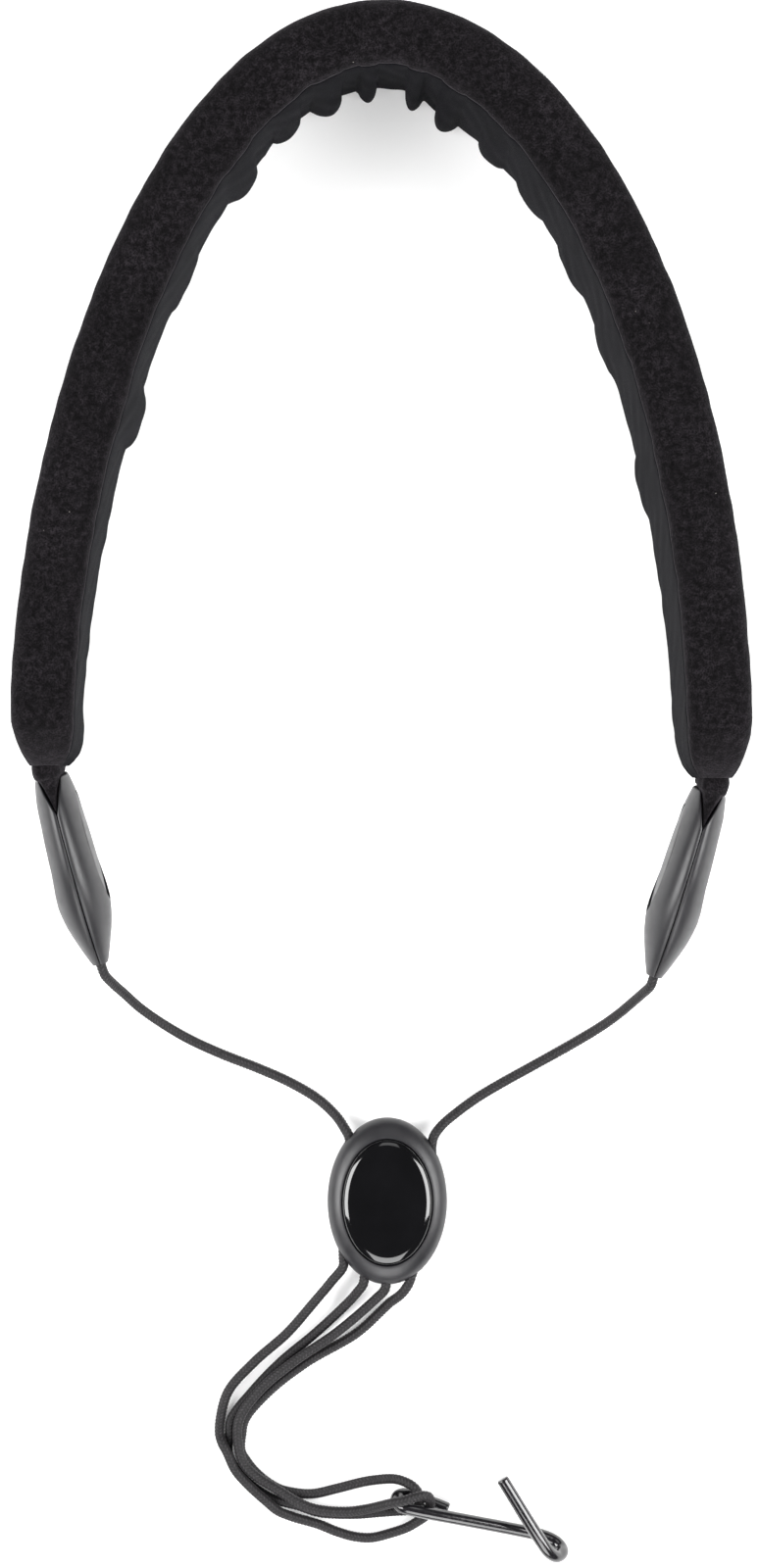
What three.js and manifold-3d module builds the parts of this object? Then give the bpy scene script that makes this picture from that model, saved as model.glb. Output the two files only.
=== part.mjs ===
// Saxophone neck strap, laid on a table with its padded arch standing on edge.
// Millimetres, +Z up, +Y from the hook towards the top of the arch.
// Origin: middle of the arch, on the pad edge that rests on the table.
import * as THREE from "three";
import { mergeVertices } from "three/addons/utils/BufferGeometryUtils.js";
import Module from "manifold-3d";

const wasm = await Module();
wasm.setup();

// ---------------------------------------------------------------- driving dimensions
const GAP = 0.3; // air between pieces that touch

const PAD_THICKNESS = 16;
const PAD_HEIGHT = 50; // width of the pad, which stands on edge
const PAD_CORNER = 5;
const PAD_WALL = 1.2; // velour and lining
// Degrees of the corners' arcs where the lining ends and where the velour begins.
const SEAM = { lining: 10, velour: 15 };
const PAD_LEAN = { reach: 1.5, fade: 60 }; // the neck side stands further in at the resting edge
const PAD_STEPS = 36;
const PAD_TAPER_LENGTH = 11;
const PAD_END_SCALE = { thickness: 0.55, height: 0.6 };
const PAD_TOP = 0.5;
// The arms' control points: roundness at the top, where the arm straightens, and its end.
const PAD_LEFT = { handle: -48, side: [-84, -96], end: [-83, -178] };
const PAD_RIGHT = { handle: 42, side: [83, -75], end: [82, -181] };

const WEBBING_WIDTH = 20;
const WEBBING_THICKNESS = 1.6;

const POD_LENGTH = 48.4;
const POD_LEFT = { mouth: [-82.5, -180.6, 25], tip: [-70.5, -227.4, 20.5] };
const POD_RIGHT = { mouth: [81.2, -184.2, 25], tip: [67.8, -230, 20.5] };
// distance from the mouth, half thickness, half width
const POD_SECTIONS = [
  [0, 4.2, 11.2],
  [5, 5.1, 13.2],
  [13, 5.9, 14.5],
  [22, 6.5, 14.6],
  [30, 6.8, 13.2],
  [37, 5.9, 10.6],
  [43.5, 3.8, 6.8],
  [POD_LENGTH, 2.1, 3.2],
];
const POD_CAVITY = [
  [5, 2.8, 10.6],
  [13, 3.3, 12],
  [22, 3.9, 12.1],
  [30, 4.3, 10.8],
  [36, 3.7, 8.2],
  [41, 2.3, 4.6],
];
const POD_SIDES = 24;
const POD_STEPS = 14;
const MOUTH = { halfWidth: 3, depth: 8.5 };
const POD_INLAY = { centre: 19, halfLength: 14, halfWidth: 8, floor: 4.4, top: 5.4, tilt: 2 };
const TAB = { pinDepth: 14, pinRadius: 1.5, layer: 1, width: 18, start: -1.7 };
const TAB_LOOP_RADIUS = TAB.pinRadius + GAP + TAB.layer;
const KNOT = { depth: 33, radius: 3 };

const CORD_DIAMETER = 2.6;
const CORD_HOLE_RADIUS = CORD_DIAMETER / 2 + GAP;
const CORD_SIDES = 8;

const SLIDER_CENTRE = { x: 1.1, y: -288.2 };
const SLIDER_HALF = { x: 15.15, y: 21.1 };
const SLIDER_MIDDLE = 5.8; // height of the seam and of the cords inside
const SLIDER_SEGMENTS = 40;
const TURN_PIN = { x: -2.95, y: -7, radius: 1.05 };

const HOOK_WIRE_DIAMETER = 3.2;

// ---------------------------------------------------------------- materials
const material = (color, roughness, metalness = 0) =>
  new THREE.MeshStandardMaterial({ color, roughness, metalness });
const VELOUR = material(0x100e0f, 0.95);
const LINING = material(0x24242c, 0.8);
const FOAM = material(0x3a3a3c, 0.9);
const WEBBING = material(0x18181a, 0.8);
const SATIN_PLASTIC = material(0x3c3b40, 0.42);
const GLOSS_PLASTIC = material(0x050506, 0.08);
const CORD = material(0x1d1b1e, 0.75);
const STEEL = material(0xa0a0a2, 0.35, 1);
const COATED_WIRE = material(0x1a181d, 0.2, 0.3);

// ---------------------------------------------------------------- solids
function toSolid(geometry) {
  const bare = geometry.index ? geometry.toNonIndexed() : geometry.clone();
  bare.deleteAttribute("normal");
  bare.deleteAttribute("uv");
  const merged = mergeVertices(bare, 1e-4);
  return new wasm.Manifold(
    new wasm.Mesh({
      numProp: 3,
      vertProperties: merged.attributes.position.array,
      triVerts: new Uint32Array(merged.index.array),
    }),
  );
}

function toGeometry(solid) {
  const mesh = solid.getMesh();
  const geometry = new THREE.BufferGeometry();
  geometry.setAttribute("position", new THREE.BufferAttribute(mesh.vertProperties, 3));
  geometry.setIndex(new THREE.BufferAttribute(mesh.triVerts, 1));
  geometry.computeVertexNormals();
  return geometry;
}

function cut(geometry, ...tools) {
  return toGeometry(tools.reduce((left, tool) => left.subtract(toSolid(tool)), toSolid(geometry)));
}

function join(...geometries) {
  return toGeometry(geometries.map(toSolid).reduce((sum, one) => sum.add(one)));
}

function addMesh(group, name, geometry, finish) {
  const mesh = new THREE.Mesh(geometry, finish);
  mesh.name = name;
  group.add(mesh);
}

const points2 = (list) => list.map(([x, y]) => new THREE.Vector2(x, y));
const points3 = (list) => list.map(([x, y, z]) => new THREE.Vector3(x, y, z));

// A straight extrusion of a section, one unit long, with each point moved by place(x, y, along).
function placedExtrusion(section, steps, place) {
  const geometry = new THREE.ExtrudeGeometry(new THREE.Shape(section), {
    depth: 1,
    steps,
    bevelEnabled: false,
  });
  const position = geometry.attributes.position;
  for (let i = 0; i < position.count; i++) {
    const moved = place(position.getX(i), position.getY(i), position.getZ(i));
    position.setXYZ(i, moved.x, moved.y, moved.z);
  }
  geometry.computeVertexNormals();
  return geometry;
}

function circlePoints(radius, sides) {
  return Array.from({ length: sides }, (_, i) => {
    const angle = (2 * Math.PI * i) / sides;
    return new THREE.Vector2(radius * Math.cos(angle), radius * Math.sin(angle));
  });
}

// A solid with oval sections: each row is distance along +Z, half thickness in X, half width in Y.
function ovalLoft(rows, sides = POD_SIDES, steps = POD_STEPS) {
  const sections = new THREE.CatmullRomCurve3(points3(rows));
  return placedExtrusion(circlePoints(1, sides), steps, (x, y, along) => {
    const section = sections.getPoint(along);
    return new THREE.Vector3(x * section.y, y * section.z, section.x);
  });
}

// A route through hand-chosen points, whose steps fall on the points themselves.
class Route extends THREE.CatmullRomCurve3 {
  constructor(list) {
    super(points3(list), false, "centripetal");
  }
  getPointAt(u, target) {
    return this.getPoint(u, target);
  }
  getTangentAt(u, target) {
    return this.getTangent(u, target);
  }
}

function tube(list, diameter = CORD_DIAMETER, sides = CORD_SIDES, stepsPerPoint = 1) {
  return new THREE.ExtrudeGeometry(new THREE.Shape(circlePoints(diameter / 2, sides)), {
    extrudePath: new Route(list),
    steps: (list.length - 1) * stepsPerPoint,
    bevelEnabled: false,
  });
}

// ---------------------------------------------------------------- padded arch
function padCurve() {
  const top = new THREE.Vector3(0, PAD_TOP, 0);
  const arm = ({ handle, side, end }) => [
    new THREE.Vector3(handle, PAD_TOP, 0),
    new THREE.Vector3(...side, 0),
    new THREE.Vector3(...end, 0),
  ];
  const curve = new THREE.CurvePath();
  curve.add(new THREE.CubicBezierCurve3(...arm(PAD_LEFT).reverse(), top));
  curve.add(new THREE.CubicBezierCurve3(top, ...arm(PAD_RIGHT)));
  return curve;
}

// Distances along the arch where sections are placed, close together in the tapered ends.
function padStations(total) {
  const taper = [0, 0.4, 1.5, 4, PAD_TAPER_LENGTH];
  const length = total - 2 * PAD_TAPER_LENGTH;
  const middle = Array.from(
    { length: PAD_STEPS - 1 },
    (_, i) => PAD_TAPER_LENGTH + (length * (i + 1)) / PAD_STEPS,
  );
  return [...taper, ...middle, ...taper.map((distance) => total - distance).reverse()];
}

// Moves a section point (outward, height) to a place along the arch. The pad is thinner at both
// ends, and between them its neck side leans in towards the resting edge.
function alongPad(curve, stations) {
  const total = curve.getLength();
  const middle = PAD_HEIGHT / 2;
  return (outward, height, along) => {
    const distance = stations[Math.round(along * (stations.length - 1))];
    const toEnd = Math.min(distance, total - distance);
    const rise = Math.min(toEnd / PAD_TAPER_LENGTH, 1);
    const roundness = Math.sqrt(1 - (1 - rise) ** 2);
    const scaleOf = (endScale) => endScale + (1 - endScale) * roundness;
    const point = curve.getPoint(distance / total);
    const tangent = curve.getTangent(distance / total);
    const lean = PAD_LEAN.reach * Math.min(toEnd / PAD_LEAN.fade, 1) * (1 - height / PAD_HEIGHT);
    const leaning = outward < 0 ? 1 + lean / (PAD_THICKNESS / 2) : 1;
    const offset = outward * leaning * scaleOf(PAD_END_SCALE.thickness);
    return new THREE.Vector3(
      point.x - tangent.y * offset,
      point.y + tangent.x * offset,
      middle + (height - middle) * scaleOf(PAD_END_SCALE.height),
    );
  };
}

function arc(cx, cy, radius, fromDegrees, toDegrees, steps = 3) {
  return Array.from({ length: steps + 1 }, (_, i) => {
    const angle = THREE.MathUtils.degToRad(
      fromDegrees + ((toDegrees - fromDegrees) * i) / steps,
    );
    return [cx + radius * Math.cos(angle), cy + radius * Math.sin(angle)];
  });
}

const PAD_FACE = PAD_THICKNESS / 2 - PAD_CORNER; // the corners' centres, out from the middle

// One corner's arc on the rounded section, inset from the outside.
function padCorner(side, upper, inset, fromDegrees, toDegrees) {
  const height = upper ? PAD_HEIGHT - PAD_CORNER : PAD_CORNER;
  return arc(side * PAD_FACE, height, PAD_CORNER - inset, fromDegrees, toDegrees);
}

// The velour goes from one seam round the resting edge, the outside and the upper edge.
function velourOutline(inset) {
  return [
    ...padCorner(-1, false, inset, 180 + SEAM.velour, 270),
    ...padCorner(1, false, inset, 270, 360),
    ...padCorner(1, true, inset, 0, 90),
    ...padCorner(-1, true, inset, 90, 180 - SEAM.velour),
  ];
}

// The lining is the neck side, from one seam to the other.
function liningOutline(inset) {
  return [
    ...padCorner(-1, true, inset, 180 - SEAM.lining, 180),
    ...padCorner(-1, false, inset, 180, 180 + SEAM.lining),
  ];
}

function skinSection(outline) {
  return points2([...outline(0), ...outline(PAD_WALL).reverse()]);
}

function foamSection(side) {
  const strapFace = WEBBING_THICKNESS / 2 + GAP;
  const inset = PAD_WALL + GAP;
  const outline = [
    [strapFace, inset],
    ...padCorner(1, false, inset, -90, 0),
    ...padCorner(1, true, inset, 0, 90),
    [strapFace, PAD_HEIGHT - inset],
  ];
  return points2(outline.map(([x, y]) => [side * x, y]));
}

function addPad(group) {
  const curve = padCurve();
  const stations = padStations(curve.getLength());
  const sweep = (section, along) =>
    placedExtrusion(section, along.length - 1, alongPad(curve, along));
  addMesh(group, "pad_cover", sweep(skinSection(velourOutline), stations), VELOUR);
  addMesh(group, "pad_lining", sweep(skinSection(liningOutline), stations), LINING);

  const inside = stations.slice(2, -2);
  addMesh(group, "foam_outer_layer", sweep(foamSection(1), inside), FOAM);
  addMesh(group, "foam_inner_layer", sweep(foamSection(-1), inside), FOAM);

  const face = WEBBING_THICKNESS / 2;
  const low = (PAD_HEIGHT - WEBBING_WIDTH) / 2;
  const high = low + WEBBING_WIDTH;
  const ribbon = [[-face, low], [face, low], [face, high], [-face, high]];
  addMesh(group, "load_strap", sweep(points2(ribbon), stations), WEBBING);
}

// ---------------------------------------------------------------- pods at the pad's ends
// A pod's own frame: +Z from the mouth to the tip, +Y up its broad faces, +X across the seam.
function podGroup({ mouth, tip }) {
  const start = new THREE.Vector3(...mouth);
  const along = new THREE.Vector3(...tip).sub(start).normalize();
  const across = new THREE.Vector3(0, 0, 1).cross(along).normalize();
  const up = along.clone().cross(across);
  const group = new THREE.Group();
  group.position.copy(start);
  group.quaternion.setFromRotationMatrix(new THREE.Matrix4().makeBasis(across, up, along));
  return group;
}

function box(x, y, z, cx, cy, cz) {
  return new THREE.BoxGeometry(x, y, z).translate(cx, cy, cz);
}

// A plate or prism whose outline lies in X and Z and which is `height` long in Y, centred.
function uprightPrism(outline, height) {
  return new THREE.ExtrudeGeometry(new THREE.Shape(points2(outline)), {
    depth: height,
    bevelEnabled: false,
  })
    .translate(0, 0, -height / 2)
    .rotateX(Math.PI / 2);
}

function ovalPlate(halfWidth, halfLength, from, to) {
  return new THREE.CylinderGeometry(1, 1, to - from, POD_SIDES)
    .rotateZ(Math.PI / 2)
    .scale(1, halfWidth, halfLength)
    .rotateY(THREE.MathUtils.degToRad(POD_INLAY.tilt))
    .translate((from + to) / 2, 0, POD_INLAY.centre);
}

function podShell() {
  const mouth = uprightPrism(
    [
      [-MOUTH.halfWidth, -0.01],
      [MOUTH.halfWidth, -0.01],
      [0, MOUTH.depth],
    ],
    4 * MOUTH.depth,
  );
  const slotWidth = TAB.width + 4 * GAP;
  const slot = box(2 * (TAB.layer + GAP), slotWidth, TAB.pinDepth, 0, 0, TAB.pinDepth / 2 - 1);
  const pocket = 2 * (TAB_LOOP_RADIUS + GAP);
  const loopPocket = box(pocket, slotWidth, pocket, 0, 0, TAB.pinDepth);
  const cordHoleLength = 14;
  const cordHole = new THREE.CylinderGeometry(
    CORD_HOLE_RADIUS,
    CORD_HOLE_RADIUS,
    cordHoleLength,
    12,
  )
    .rotateX(Math.PI / 2)
    .translate(0, 0, POD_LENGTH - cordHoleLength / 2 + 1);
  const hollows = [ovalLoft(POD_CAVITY), mouth, slot, loopPocket, cordHole];
  return cut(ovalLoft(POD_SECTIONS), ...hollows);
}

function podHalf(shell, side) {
  const big = 80;
  const otherHalf = box(big, big, 2 * big, side * (GAP / 2 - big / 2), 0, 0);
  const recess = ovalPlate(
    POD_INLAY.halfWidth + GAP,
    POD_INLAY.halfLength + GAP,
    POD_INLAY.floor,
    POD_INLAY.floor + 4,
  );
  if (side < 0) recess.rotateZ(Math.PI);
  return cut(shell, otherHalf, recess);
}

// The ribbon is folded round the pin and sewn to itself, so its outline is a keyhole.
function tabWebbing() {
  const neckAngle = THREE.MathUtils.radToDeg(Math.asin(TAB.layer / TAB_LOOP_RADIUS));
  const outline = [
    [-TAB.layer, TAB.start],
    [TAB.layer, TAB.start],
    ...arc(0, TAB.pinDepth, TAB_LOOP_RADIUS, -90 + neckAngle, 270 - neckAngle, 16),
  ];
  const hole = new THREE.CylinderGeometry(
    TAB.pinRadius + GAP,
    TAB.pinRadius + GAP,
    2 * WEBBING_WIDTH,
    16,
  ).translate(0, 0, TAB.pinDepth);
  return cut(uprightPrism(outline, TAB.width), hole);
}

function tabSleeve() {
  const outside = ovalLoft(
    [
      [-0.9, 3.7, 13.8],
      [0, 2.65, 12.8],
      [1.6, 2.1, 12.3],
      [2.6, 1.75, 12],
    ],
    20,
    4,
  );
  const passage = box(2 * (TAB.layer + GAP), TAB.width + 2 * GAP, 12, 0, 0, 0);
  return cut(outside, passage);
}

function cordKnot() {
  const ball = new THREE.SphereGeometry(KNOT.radius, 12, 8).translate(0, 0, KNOT.depth);
  const stubLength = POD_LENGTH - KNOT.depth;
  const stub = new THREE.CylinderGeometry(
    CORD_DIAMETER / 2,
    CORD_DIAMETER / 2,
    stubLength,
    CORD_SIDES,
  )
    .rotateX(Math.PI / 2)
    .translate(0, 0, KNOT.depth + stubLength / 2);
  return join(ball, stub);
}

function addPod(root, hand, place) {
  const group = podGroup(place);
  const shell = podShell();
  const neckSide = hand === "left" ? 1 : -1; // +X of the left pod points towards the neck
  for (const [face, side] of [["inner", neckSide], ["outer", -neckSide]]) {
    addMesh(group, `${hand}_pod_${face}_shell`, podHalf(shell, side), SATIN_PLASTIC);
    const { halfWidth, halfLength, floor, top } = POD_INLAY;
    const inlay = ovalPlate(halfWidth, halfLength, floor + GAP, top);
    if (side < 0) inlay.rotateZ(Math.PI);
    addMesh(group, `${hand}_pod_${face}_inlay`, inlay, SATIN_PLASTIC);
  }
  addMesh(group, `${hand}_tab_sleeve`, tabSleeve(), VELOUR);
  addMesh(group, `${hand}_tab_webbing`, tabWebbing(), WEBBING);
  const pin = new THREE.CylinderGeometry(TAB.pinRadius, TAB.pinRadius, TAB.width, 14);
  addMesh(group, `${hand}_tab_pin`, pin.translate(0, 0, TAB.pinDepth), STEEL);
  addMesh(group, `${hand}_cord_knot`, cordKnot(), CORD);
  root.add(group);
}

// ---------------------------------------------------------------- slider
const M = SLIDER_MIDDLE;
// profiles: share of the oval's radius, height
const FRONT_PROFILE = [
  [0, 8.1],
  [0.78, 8.1],
  [0.78, M + GAP / 2],
  [0.985, M + GAP / 2],
  [1, 6.6],
  [0.985, 7.5],
  [0.935, 8.9],
  [0.86, 9.9],
  [0.775, 10.3],
  [0.77, 9.2],
  [0, 9.2],
];
const BACK_PROFILE = [
  [0, 0.1],
  [0.55, 0.1],
  [0.8, 1],
  [0.93, 2.7],
  [0.985, 4.2],
  [1, 5],
  [0.985, M - GAP / 2],
  [0.78, M - GAP / 2],
  [0.78, 3.5],
  [0, 3.5],
];
const INLAY_PROFILE = [
  [0, 9.5],
  [0.748, 9.5],
  [0.748, 10.2],
  [0.7, 10.9],
  [0.4, 11.5],
  [0, 11.7],
];

// Cord lengths inside the slider, from the slider's centre.
const SLIDER_LEFT_ROUTE = [
  [-9.4, 15.2, M],
  [-10.6, 8, M],
  [-11.4, 0, M],
  [-11.3, -8, M],
  [-11, -15.9, M],
];
const SLIDER_RIGHT_ROUTE = [
  [11.2, 15, M],
  [11.4, 6, M],
  [10.4, -4, M],
  [8.2, -13, M],
  [5.7, -20.4, M],
];

// In and out at the bottom, half a turn round the pin.
function bightRoute() {
  const reach = TURN_PIN.radius + GAP + CORD_DIAMETER / 2;
  const turn = arc(TURN_PIN.x, TURN_PIN.y, reach, 180, 0, 6);
  const flat = [[-5.7, -20.4], [-5.65, -13], ...turn, [-0.25, -13], [-0.2, -21.6]];
  return flat.map(([x, y]) => [x, y, M]);
}

function ovalLathe(profile) {
  return new THREE.LatheGeometry(points2(profile), SLIDER_SEGMENTS)
    .rotateX(Math.PI / 2)
    .scale(SLIDER_HALF.x, SLIDER_HALF.y, 1);
}

// The same route made longer at both ends, so that a hole along it breaks out of the wall.
function lengthened(list, by) {
  const reach = (from, to) => {
    const end = new THREE.Vector3(...to);
    const step = end.clone().sub(new THREE.Vector3(...from)).setLength(by);
    return end.add(step).toArray();
  };
  return [reach(list[1], list[0]), ...list, reach(list.at(-2), list.at(-1))];
}

function addSlider(root) {
  const group = new THREE.Group();
  group.position.set(SLIDER_CENTRE.x, SLIDER_CENTRE.y, 0);
  const routes = {
    slider_cord_left: SLIDER_LEFT_ROUTE,
    slider_cord_right: SLIDER_RIGHT_ROUTE,
    slider_cord_bight: bightRoute(),
  };
  const holes = Object.values(routes).map((route) =>
    tube(lengthened(route, 3), 2 * CORD_HOLE_RADIUS, CORD_SIDES),
  );
  addMesh(group, "slider_front_shell", cut(ovalLathe(FRONT_PROFILE), ...holes), SATIN_PLASTIC);
  addMesh(group, "slider_back_shell", cut(ovalLathe(BACK_PROFILE), ...holes), SATIN_PLASTIC);
  addMesh(group, "slider_front_inlay", ovalLathe(INLAY_PROFILE), GLOSS_PLASTIC);
  const pin = new THREE.CylinderGeometry(TURN_PIN.radius, TURN_PIN.radius, 4, 12)
    .rotateX(Math.PI / 2)
    .translate(TURN_PIN.x, TURN_PIN.y, M);
  addMesh(group, "slider_turn_pin", pin, STEEL);
  for (const [name, route] of Object.entries(routes)) addMesh(group, name, tube(route), CORD);
  root.add(group);
}

// ---------------------------------------------------------------- free cords
const UPPER_LEFT_POD_HALF = [
  [-70.3, -228.1, 20.4],
  [-69.6, -230.2, 19.3],
  [-67.9, -232.5, 16],
  [-65.2, -235.4, 11.5],
  [-61.5, -239.2, 7],
  [-56, -243.4, 3.6],
  [-49.5, -247.4, 1.8],
  [-41.3, -251.2, 1.35],
];
const UPPER_LEFT_SLIDER_HALF = [
  [-41, -251.3, 1.35],
  [-31.8, -254.9, 1.35],
  [-23.5, -258.6, 1.4],
  [-16.4, -262.8, 2],
  [-11.8, -267, 3.4],
  [-9.7, -269.9, 5.2],
  [-8.6, -271.9, 5.8],
];
const UPPER_RIGHT_POD_HALF = [
  [67.5, -231.1, 20.3],
  [66.9, -233, 19.2],
  [65.3, -235, 15.5],
  [63, -237.5, 11],
  [60, -240.5, 6.8],
  [55.8, -243.9, 3.4],
  [50.2, -247.5, 1.8],
  [43.6, -251.3, 1.35],
];
const UPPER_RIGHT_SLIDER_HALF = [
  [43.3, -251.5, 1.35],
  [37.1, -254.9, 1.35],
  [30.4, -258.6, 1.35],
  [24, -262.4, 1.7],
  [18.6, -266.2, 3],
  [14.8, -269.3, 5.1],
  [12.9, -271.9, 5.8],
];

// The outer loop: out of the slider, under the shank, up through the eye and back on top.
const LOWER_LOOP_OUTER = [
  [-10.1, -304.9, 5.8],
  [-13, -308.7, 5],
  [-17.8, -314.7, 2.6],
  [-24.3, -322.3, 1.4],
  [-32.8, -329.8, 1.3],
  [-39.4, -337.3, 1.3],
  [-41.4, -344.3, 1.4],
  [-41.5, -348.1, 2.5],
  [-40.8, -350.1, 3.7],
  [-39.6, -352.3, 4.05],
  [-37.5, -356.8, 4],
  [-34.1, -360.7, 4],
  [-29.5, -364.9, 3.9],
  [-26.8, -367.3, 3],
  [-23.3, -369, 1.8],
  [-16.4, -371.1, 1.35],
  [-11.9, -372.9, 1.35],
  [-7.4, -374.2, 1.35],
  [-2.9, -374.5, 1.35],
  [1.4, -373.5, 1.35],
  [5.9, -372, 1.35],
  [9.1, -370.1, 1.7],
  [11.1, -368.3, 3.2],
  [11.9, -366.4, 4.5],
  [12, -364.3, 5.7],
  [11.3, -363, 7.1],
  [9.9, -362.6, 8.2],
  [7.8, -362.9, 9],
  [5.3, -363.6, 9.6],
  [2.3, -364.3, 9.1],
  [-0.6, -365.4, 7],
  [-4.1, -366.6, 4.8],
  [-9.6, -367.4, 4.1],
  [-17.7, -366.6, 4],
  [-22.3, -364.6, 4],
  [-27.4, -361.4, 4],
  [-32.2, -358.4, 4],
  [-35.2, -355.4, 4],
  [-36.5, -351.8, 4],
  [-36.6, -344.4, 3.9],
  [-31.6, -336.9, 3.95],
  [-22.8, -329.4, 4],
  [-11.8, -321.9, 4],
  [-1.6, -313, 5],
  [0.7, -310.6, 5.8],
];
// The inner loop: under the eye, up through it and back over its other side.
const LOWER_LOOP_INNER = [
  [-5, -309.3, 5.8],
  [-6.5, -311.5, 4.9],
  [-9.1, -314.7, 2.4],
  [-17.1, -322.3, 1.35],
  [-26.1, -329.8, 1.35],
  [-33.3, -337.3, 1.35],
  [-38.6, -344.3, 1.35],
  [-39.1, -348.5, 1.35],
  [-39.4, -352.8, 1.35],
  [-37.2, -357.3, 1.35],
  [-33.6, -361.1, 1.35],
  [-28.1, -364.6, 1.35],
  [-21.6, -366.3, 1.35],
  [-16.4, -368, 1.35],
  [-7.4, -368.5, 1.35],
  [-0.4, -368, 1.35],
  [3.4, -367.7, 1.35],
  [6.4, -367.5, 1.6],
  [8.3, -367, 3],
  [9.1, -365.5, 4.6],
  [9.2, -363.4, 5.3],
  [8.2, -361.3, 5.3],
  [5.6, -359.8, 4.2],
  [2.9, -359.3, 2.7],
  [-1.4, -359.7, 1.5],
  [-5.1, -360.3, 1.35],
  [-11.9, -362, 1.35],
  [-17.9, -363.3, 1.35],
  [-22.8, -363, 1.35],
  [-26.8, -361.9, 1.35],
  [-31.6, -358.6, 1.35],
  [-34.5, -355.3, 1.35],
  [-36.2, -352.3, 1.35],
  [-36, -348.3, 1.35],
  [-35.1, -344.3, 1.35],
  [-29.1, -337.3, 1.35],
  [-19.4, -329.8, 1.35],
  [-6.6, -322.3, 1.35],
  [1.6, -314.6, 2.8],
  [4.6, -312, 5],
  [6.4, -309.5, 5.8],
];

// ---------------------------------------------------------------- hook
// Eye, shank, bowl and free leg, from the wire's end at the eye.
const HOOK_ROUTE = [
  [16.6, -367.1, 2.2],
  [11.9, -365.3, 1.7],
  [6.7, -363.5, 1.65],
  [5.1, -363.3, 2.1],
  [3.8, -363.6, 3.1],
  [3.4, -364.2, 4.5],
  [3.8, -364.9, 5.95],
  [5, -365.7, 7],
  [6.7, -366.1, 7.4],
  [10.8, -367, 7.4],
  [36.3, -372.7, 2.8],
  [41.3, -374.1, 1.9],
  [44, -375.5, 1.9],
  [45.4, -376.9, 3],
  [45.4, -377.7, 5.1],
  [44, -378.1, 7.3],
  [42.1, -376.8, 9.2],
  [39.9, -373.7, 10.4],
  [30, -357.6, 12],
];

const root = new THREE.Group();
addPad(root);
addPod(root, "left", POD_LEFT);
addPod(root, "right", POD_RIGHT);
addSlider(root);
addMesh(root, "upper_cord_left_pod_half", tube(UPPER_LEFT_POD_HALF), CORD);
addMesh(root, "upper_cord_left_slider_half", tube(UPPER_LEFT_SLIDER_HALF), CORD);
addMesh(root, "upper_cord_right_pod_half", tube(UPPER_RIGHT_POD_HALF), CORD);
addMesh(root, "upper_cord_right_slider_half", tube(UPPER_RIGHT_SLIDER_HALF), CORD);
addMesh(root, "lower_loop_outer", tube(LOWER_LOOP_OUTER), CORD);
addMesh(root, "lower_loop_inner", tube(LOWER_LOOP_INNER), CORD);
addMesh(root, "hook_wire", tube(HOOK_ROUTE, HOOK_WIRE_DIAMETER, 10, 3), COATED_WIRE);

export default root;
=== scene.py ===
"""Saxophone neck strap: padded arch, two pods, cord slider, doubled cords and a wire hook.

The object's lengths are written in millimetres and turned into metres with MM; those of the camera,
floor and lamps are in metres. The frame is the CAD part's:
+Y from the hook to the arch, +Z up, origin on the table under the middle of the arch.
"""

import math
import random

import bmesh
import bpy
import numpy as np
from mathutils import Matrix, Vector


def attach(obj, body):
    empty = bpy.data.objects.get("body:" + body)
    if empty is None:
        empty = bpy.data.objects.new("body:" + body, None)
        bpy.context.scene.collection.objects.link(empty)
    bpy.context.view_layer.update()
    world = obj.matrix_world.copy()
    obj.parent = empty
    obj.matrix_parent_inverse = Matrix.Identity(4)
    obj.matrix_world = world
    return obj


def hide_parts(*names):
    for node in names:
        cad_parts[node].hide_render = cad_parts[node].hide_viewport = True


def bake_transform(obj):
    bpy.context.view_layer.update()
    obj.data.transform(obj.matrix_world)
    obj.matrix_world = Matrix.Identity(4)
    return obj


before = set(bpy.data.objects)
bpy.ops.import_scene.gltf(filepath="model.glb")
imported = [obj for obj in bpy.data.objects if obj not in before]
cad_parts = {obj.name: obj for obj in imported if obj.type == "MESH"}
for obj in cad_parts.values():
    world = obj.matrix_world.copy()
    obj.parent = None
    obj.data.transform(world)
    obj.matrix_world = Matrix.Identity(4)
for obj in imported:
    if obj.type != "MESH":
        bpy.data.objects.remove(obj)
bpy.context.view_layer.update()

MM = 0.001
GAP = 0.3  # air between plastic parts

# ---------------------------------------------------------------- camera
VIEW_CENTRE = Vector((-1, -182.5, 0)) * MM
CAMERA_HEIGHT = 1.0
camera_data = bpy.data.cameras.new("camera")
camera_data.lens = 90
camera_data.sensor_width = 36
camera_data.clip_start = 0.05
camera_data.clip_end = 20
camera = bpy.data.objects.new("camera", camera_data)
camera.location = VIEW_CENTRE + Vector((0, 0, CAMERA_HEIGHT))
bpy.context.scene.collection.objects.link(camera)
bpy.context.scene.camera = camera


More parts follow.
